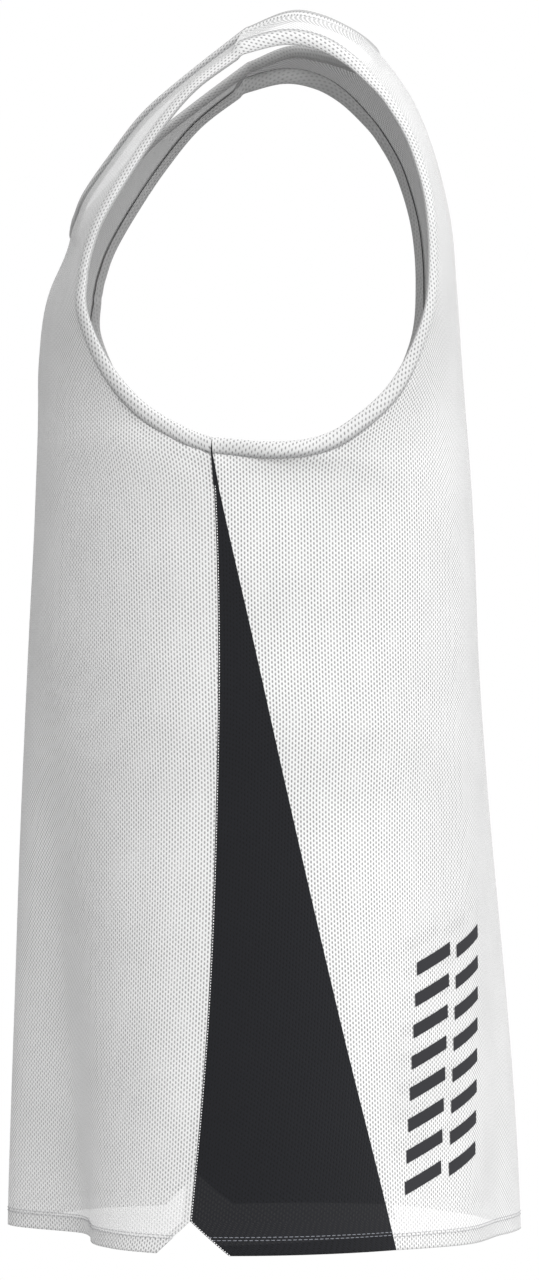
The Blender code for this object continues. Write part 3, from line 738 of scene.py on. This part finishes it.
def soften(grid, row, inner_edge):
    """Rounds the fold that the cloth would have along one row, but not at its outer edge.

    inner_edge says whether the inner edge stays put as well.
    """
    far = lengths(grid, 0)
    reach = lengths(grid, 1)
    if inner_edge:
        reach = np.minimum(reach, reach[:, -1:] - reach)
    away = np.clip(reach / SOFT_EDGE, 0, 1)
    eased = grid.copy()
    for i in range(1, grid.shape[1]):
        spots = np.arange(far[0, i], far[-1, i], SOFT_STEP)
        line = np.column_stack([np.interp(spots, far[:, i], part) for part in grid[:, i].T])
        for j in range(1, len(grid) - 1):
            apart = far[j, i] - far[row, i]
            if abs(apart) < SOFT_LIMIT * SOFT_REACH:
                weights = np.exp(-(((spots - far[j, i]) / SOFT_WIDTH) ** 2))
                change = weights @ line / weights.sum() - grid[j, i]
                ease = away[j, i] ** 2 * (3 - 2 * away[j, i]) * math.exp(-((apart / SOFT_REACH) ** 2))
                eased[j, i] += change * ease
    return eased


def make_panel(name, side, finish):
    """A white panel with its turned-up hem and its pressed-back side seam allowances."""
    patches = []
    halves = {}
    body_count = len(body_rows(side))
    for hand, _ in HANDS:
        grid, arm, neck = half_panel(side, hand)
        grid = soften(grid, body_count - 1, False)
        grid = soften(grid, len(grid) - len(neck[0]), True)
        flip = side * hand > 0
        normals = outward(grid, flip)
        places = cloth_places(grid, normals, side)
        places[..., 0] *= hand
        patches.append((grid, places, flip))
        patches.append((*hem_return(grid, normals, places), flip))
        seam_rows = slice(0 if side < 0 else 2 * DETAIL, body_count)
        patches.append((*allowance(grid[seam_rows], normals[seam_rows], places[seam_rows]), flip))
        halves[hand] = (grid, normals, places, arm, neck)
    piece = sheet_object(name + "_cloth", patches, finish)
    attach(piece, "root")
    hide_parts(name)
    return piece, halves


def make_gore(name, hand, finish, heights):
    """A near-black side gore with its turned-up hem."""
    grid = gore_grid(heights, hand)
    flip = hand > 0
    places = np.dstack([lengths(grid, 1), lengths(grid, 0)])
    normals = outward(grid, flip)
    patches = [(grid, places, flip), (*hem_return(grid, normals, places), flip)]
    piece = sheet_object(name + "_cloth", patches, finish)
    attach(piece, "root")
    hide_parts(name)
    return piece, grid, normals


def grain_places(fold, lead, edge, beside, places, places_beside):
    """Where each point of a fold lies on the flat cloth, and the way into the cloth there."""
    ways = []
    for i, inward in enumerate(lead):
        at = max(i, 1)
        back = max(i - 1, 1)
        on = min(i + 1, len(edge) - 1)
        basis = np.column_stack([beside[at] - edge[at], edge[on] - edge[back]])
        moved = np.column_stack([places_beside[at] - places[at], places[on] - places[back]])
        ways.append(unit(moved @ np.linalg.lstsq(basis, inward, rcond=None)[0]))
    starts = [max(i - GRAIN_EASE, 0) for i in range(len(ways))]
    ways = [unit(np.sum(ways[start : i + GRAIN_EASE + 1], axis=0)) for i, start in enumerate(starts)]
    turn = 1 if np.cross(ways[GRAIN_TRUE], places[GRAIN_TRUE + 1] - places[GRAIN_TRUE]) > 0 else -1
    found = [places[1]]
    for i in range(1, len(fold)):
        middle = unit(ways[i] + ways[i - 1])
        step = np.linalg.norm(fold[i] - fold[i - 1])
        found.append(found[-1] + turn * np.array([-middle[1], middle[0]]) * step)
    return list(zip(found, ways))


def binding_side(grid, places, edge, here, beside):
    """One panel's stretch of a binding, as (fold point, way into the cloth, cloth place, its change)."""
    fold, lead = edge
    first = len(grid) - len(fold)
    spots = grid[first:]
    flat = places[first:]
    at = grain_places(fold, lead, spots[:, here], spots[:, beside], flat[:, here], flat[:, beside])
    return [(point, inward, *place) for point, inward, place in zip(fold, lead, at)]


def binding_ring(point, inward, out, place, change, turns):
    """The points once round a binding, from inner edge over the fold to outer edge, and their places."""
    ring = []
    flat = []
    for turn in turns:
        depth = (1 - math.cos(turn)) / 2
        lift = BINDING_PAD / 2 * math.sin(turn) * (1 + ROLL_FULL * abs(math.sin(turn)))
        lift += math.copysign(LIP_LIFT, turn) * max(0.0, depth - LIP_FROM) / LIP_SPAN
        ring.append(point - out * WALL / 2 + inward * BINDING_WIDTH * depth + out * lift)
        flat.append(place - change * BINDING_WIDTH * (1 - turn / math.pi) * STRIP_EASE)
    return ring, flat


def make_binding(name, stretches, finish, inner_painted_shade_finish, inner_past=0):
    """A strip folded over the raw edge and padded by it, from its stretches along each panel.

    Its inner half has a finish of its own, painted darker as shade, which runs on to inner_past sides past
    the fold.
    """
    turns = np.linspace(-math.pi, math.pi, BINDING_SIDES + 1)
    # How far each side lies across the strip, which sets where the painted seam shade falls.
    across = np.where(turns > 0, turns / math.pi / PAINTED_SEAM_SHADE_FULL, -turns / math.pi)
    middle = BINDING_SIDES // 2 + inner_past
    patches = []
    for k, stretch in enumerate(stretches):
        before = stretches[k - 1]
        after = stretches[(k + 1) % len(stretches)]
        joins = {0: before[-1][1], len(stretch) - 1: after[0][1]}
        line = [spot[0] for spot in (before[-2], *stretch, after[1])]
        rows = []
        for i, (point, inward, place, change) in enumerate(stretch):
            inward = unit(inward + joins.get(i, inward))
            out = unit(np.cross(unit(line[i + 2] - line[i]), inward))
            rows.append(binding_ring(point, inward, out, place, change, turns))
        grid, flat = (np.array(part) for part in zip(*rows))
        for half in (slice(middle, None), slice(None, middle + 1)):
            patches.append((grid[:, half], flat[:, half], False, across[half]))
    piece = sheet_object(name + "_strip", patches, finish, inner_painted_shade_finish)
    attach(piece, "root")
    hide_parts(name)
    return piece, [patch[0] for patch in patches[::2]]


def raised(field, grid, above):
    """A field's values on the line at this height above a hem, where the cloth reaches it."""
    hem = grid[0, :, 2].copy()
    corner = int(np.argmin(hem))
    hem[:corner] = hem[corner]
    line = []
    for i, height in enumerate(hem + above):
        if grid[0, i, 2] <= height:
            line.append([np.interp(height, grid[:, i, 2], part) for part in field[:, i].T])
    return np.array(line)


def on_top(grid, normals):
    """Where the middles of stitches lie on the cloth at each point of a grid."""
    return grid + normals * STITCH_THICK * STITCH_ABOVE


def hem_rows(shells):
    """Both rows of the twin needle along the hem of each of these shells."""
    heights = (HEM_TURN - NEEDLE_IN, HEM_TURN - NEEDLE_IN + NEEDLE_GAP)
    return [raised(on_top(grid, normals), grid, above) for above in heights for grid, normals in shells]


def edge_row(grid, normals):
    """The row of small stitches beside a gore's front seam."""
    row = []
    for reach, points in zip(lengths(grid, 1), grid + normals * STITCH_THICK):
        if reach[-1] > 3 * EDGE_STITCH_IN:
            row.append([np.interp(EDGE_STITCH_IN, reach, part) for part in points.T])
    return row


def walk(points, pitch):
    """Evenly spaced (point, direction) along a run of points."""
    points = np.array(points)
    far = np.concatenate([[0], np.cumsum(np.linalg.norm(np.diff(points, axis=0), axis=1))])
    at = np.arange(pitch / 2, far[-1], pitch)
    spots = np.column_stack([np.interp(at, far, part) for part in points.T])
    ahead = np.column_stack([np.interp(at + pitch / 4, far, part) for part in points.T])
    return [(a, unit(b - a)) for a, b in zip(spots, ahead) if np.linalg.norm(b - a) > 1e-7]


def add_stitch(bm, spot, along, length):
    """One short raised stitch, a thread with tapered ends, round its middle spot."""
    side_way = unit(np.cross(along, ASKEW))
    up_way = np.cross(side_way, along)
    rings = []
    for share, width in STITCH_FORM:
        centre = spot + along * length * share
        ring = []
        for turn in np.linspace(0, 2 * math.pi, STITCH_SIDES, endpoint=False):
            off = side_way * math.cos(turn) + up_way * math.sin(turn)
            ring.append(bm.verts.new(centre + off * STITCH_THICK * width))
        rings.append(ring)
    for low, high in zip(rings[:-1], rings[1:]):
        for i in range(STITCH_SIDES):
            k = (i + 1) % STITCH_SIDES
            bm.faces.new((low[i], low[k], high[k], high[i]))
    bm.faces.new(rings[0][::-1])
    bm.faces.new(rings[-1])


def make_stitches(name, runs, finish, node, sizes=STITCH):
    """Short raised thread stitches along each run of points."""
    pitch, length = sizes
    bm = bmesh.new()
    for points in runs:
        for spot, along in walk(points, pitch):
            add_stitch(bm, spot, along, length)
    for face in bm.faces:
        face.smooth = True
    piece = mesh_object(name, bm, [finish])
    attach(piece, "root")
    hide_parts(node)
    return piece


def on_cloth(field, places, across, height):
    """A field's values on a half panel, this far across from its centre line and at a height.

    The field's first three values are each point's own place.
    """
    line = []
    for values, spots in zip(field[:, ::-1], np.abs(places[:, ::-1, 0])):
        line.append([np.interp(across, spots, part) for part in values.T])
    line = np.array(line)
    return np.array([np.interp(height, line[:, 2], part) for part in line.T])


def make_hip_print(name, halves, finish):
    """Two staggered columns of equal slanted bars, printed on the cloth beside each back seam."""
    patches = []
    high_cells, long_cells = PRINT_CELLS
    for hand, _ in HANDS:
        grid, normals, places = (field[:PRINT_ROWS_BELOW] for field in halves[hand][:3])
        field = np.dstack([grid, normals])
        for row in range(PRINT_BARS):
            for bar_column in (0, 1):
                middle = PRINT_TOP - PRINT_PITCH * (row + bar_column / 2)
                inner = PRINT_INNER + (PRINT_TOP - middle) * PRINT_LEAN
                inner += bar_column * (PRINT_LONG + PRINT_SPACE)
                points = []
                flat = []
                for rise in np.linspace(-0.5, 0.5, high_cells + 1):
                    line = []
                    for share in np.linspace(0, 1, long_cells + 1):
                        across = inner + PRINT_LONG * share
                        height = middle + PRINT_HIGH * rise + PRINT_SLANT * (0.5 - share)
                        spot = on_cloth(field, places, across, height)
                        line.append(spot[:3] + spot[3:] * PRINT_LIFT)
                        flat.append((across, height))
                    points.append(line)
                points = np.array(points)
                patches.append((points, np.reshape(flat, (*points.shape[:2], 2)), hand < 0))
    piece = sheet_object(name, patches, finish)
    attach(piece, "root")
    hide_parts("back_panel")
    return piece


def make_gore_point(name, rings, gore, hand, finish):
    """The gore's last point, which runs out over the armhole binding."""
    ring = rings[0][0]
    ring = ring[: int(POINT_RING * len(ring))]
    along = unit(rings[0][1][0] - rings[1][-2][0])
    centre = ring.mean(axis=0)
    under = [(row[0] + row[-1]) / 2 for row in gore[::-1] if abs(row[-1, 1] - row[0, 1]) < POINT_GORE]
    over = len(ring)
    ring = np.vstack([ring, np.linspace(ring[-1], under[0], POINT_CELLS + 1)[1:-1], under])
    points = []
    for way in (-1, 1):
        line = []
        for i, point in enumerate(ring):
            step = ring[min(i + 1, len(ring) - 1)] - ring[max(i - 1, 0)]
            out = unit(np.cross(step, along))
            out *= math.copysign(1, out @ (point - centre) if i < over else out[0] * hand)
            width = POINT_WIDEN * (ring[0, 2] - point[2])
            line.append(point + out * POINT_LIFT + along * way * width / 2)
        points.append(line)
    points = np.array(points)
    piece = sheet_object(name, [(points, points[..., 1:], False)], finish)
    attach(piece, "root")
    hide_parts("side_gore_left" if hand > 0 else "side_gore_right")
    return piece


def make_camera():
    """Level camera on the wearer's left side."""
    data = bpy.data.cameras.new("camera")
    data.sensor_width = SENSOR
    data.lens = SENSOR * CAMERA_FAR * PIXELS_PER_METRE / PICTURE_HEIGHT
    camera = bpy.data.objects.new("camera", data)
    bpy.context.scene.collection.objects.link(camera)
    camera.location = (CAMERA_FAR, 0.0, CAMERA_HEIGHT)
    camera.rotation_euler = (math.pi / 2, 0, math.pi / 2)
    bpy.context.scene.camera = camera


def make_lamp():
    """One soft round lamp, high on the camera's side and toward the garment's back."""
    data = bpy.data.lights.new("back_high_lamp", "AREA")
    data.shape = "DISK"
    data.size = LAMP_SIZE
    data.energy = LAMP_POWER
    lamp = bpy.data.objects.new("back_high_lamp", data)
    bpy.context.scene.collection.objects.link(lamp)
    lamp.location = LAMP_PLACE
    lamp.rotation_euler = (Vector(LAMP_AIM) - Vector(LAMP_PLACE)).to_track_quat("-Z", "Y").to_euler()


def make_room():
    """White studio surround, brighter from above and behind, and a pale floor below the hem."""
    world = bpy.data.worlds.new("studio")
    bpy.context.scene.world = world
    world.use_nodes = True
    tree = world.node_tree
    tree.nodes.clear()
    seen = add(tree, "ShaderNodeBackground", {"Color": (1, 1, 1, 1), "Strength": 1.0})
    toward = {0: add(tree, "ShaderNodeTexCoord").outputs["Generated"], 1: SKY_SLOPE}
    slope = add(tree, "ShaderNodeVectorMath", toward, operation="DOT_PRODUCT")
    level = add(tree, "ShaderNodeMath", {0: slope.outputs["Value"], 1: SKY_LEVEL}, operation="ADD")
    least = add(tree, "ShaderNodeMath", {0: level, 1: SKY_LEAST}, operation="MAXIMUM")
    lit = add(tree, "ShaderNodeBackground", {"Color": (1, 1, 1, 1), "Strength": least})
    rays = {0: add(tree, "ShaderNodeLightPath").outputs["Is Camera Ray"], 1: lit, 2: seen}
    both = add(tree, "ShaderNodeMixShader", rays)
    add(tree, "ShaderNodeOutputWorld", {"Surface": both})
    bpy.ops.mesh.primitive_plane_add(size=FLOOR_SIZE, location=(0, 0, FLOOR_HEIGHT))
    floor = bpy.context.object
    floor.name = "studio_floor"
    floor.data.materials.append(plain_material("pale_grey_paper", "#CFCFCF", 0.9))
    make_lamp()
    bpy.context.scene.view_settings.view_transform = "Standard"


make_camera()
make_room()

white = {-1: knit_mesh("white_polyester_micro_mesh_front_painted_inside_shade"), 1: knit_mesh("white_polyester_micro_mesh_back_painted_deeper_inside_shade")}
black = knit_mesh("near_black_polyester_micro_mesh")
trim = knit_mesh("white_binding_knit")
# The strips' inner halves: the binding knit painted darker as shade.
arm_inner_painted_shade = knit_mesh("armhole_binding_knit_inner_half_painted_shade")
neck_inner_painted_shade = knit_mesh("neck_binding_knit_inner_half_painted_shade")
thread = plain_material("white_spun_polyester_thread", "#F7F7F8", 0.7)
hem_thread = plain_material("pale_grey_spun_polyester_thread", "#B4B4B6", 0.7)
ink = plain_material("near_black_screen_print_ink", "#242428", 0.6)
grey_thread = plain_material("grey_spun_polyester_thread", "#7D7F86", 0.7)

panels = {}
for name, side in SIDES.items():
    panel, panels[side] = make_panel(name, side, white[side])

hem_heights = np.linspace(GORE_HEM_BACK, VENT_TOP, VENT_ROWS, endpoint=False)
seam_heights = [row[0][2] for row in body_rows(-1)[VENT_ROWS:]]
gores = {}
for hand, side_name in HANDS:
    gore, *gores[hand] = make_gore("side_gore_" + side_name, hand, black, [*hem_heights, *seam_heights])

# Each half panel gives a stretch of an armhole's strip and one of the neck's.
neck_parts = {}
arm_rings = {}
for hand, side_name in HANDS:
    arm_parts = []
    for side in (-1, 1):
        grid, _, places, arm_edge, neck_edge = panels[side][hand]
        stretch = binding_side(grid, places, arm_edge, 0, GRAIN_BESIDE)
        arm_parts.append(stretch if side < 0 else stretch[::-1])
        neck_parts[side, hand] = binding_side(grid, places, neck_edge, -1, -1 - GRAIN_BESIDE)
    if hand < 0:
        arm_parts = [stretch[::-1] for stretch in arm_parts[::-1]]
    strip, arm_rings[hand] = make_binding("armhole_binding_" + side_name, arm_parts, trim, arm_inner_painted_shade)
round_neck = [neck_parts[-1, -1], neck_parts[1, -1][::-1], neck_parts[1, 1], neck_parts[-1, 1][::-1]]
strip, _ = make_binding("neck_binding", round_neck, trim, neck_inner_painted_shade, NECK_PAST)

hem_runs = hem_rows([panels[side][hand][:2] for side in (-1, 1) for hand, _ in HANDS])
make_stitches("white_hem_stitches", hem_runs, hem_thread, "front_panel")
gore_runs = hem_rows([gores[1], gores[-1]])
make_stitches("gore_hem_stitches", gore_runs, grey_thread, "side_gore_left")
edge_runs = [edge_row(*gores[hand]) for hand, _ in HANDS]
make_stitches("gore_edge_stitches", edge_runs, thread, "side_gore_left", EDGE_STITCH)
shoulder_runs = [on_top(*panels[-1][hand][:2])[-1] for hand, _ in HANDS]
make_stitches("shoulder_stitches", shoulder_runs, grey_thread, "front_panel")
make_hip_print("hip_print", panels[1], ink)
for hand, side_name in HANDS:
    make_gore_point("gore_point_" + side_name, arm_rings[hand], gores[hand][0], hand, black)
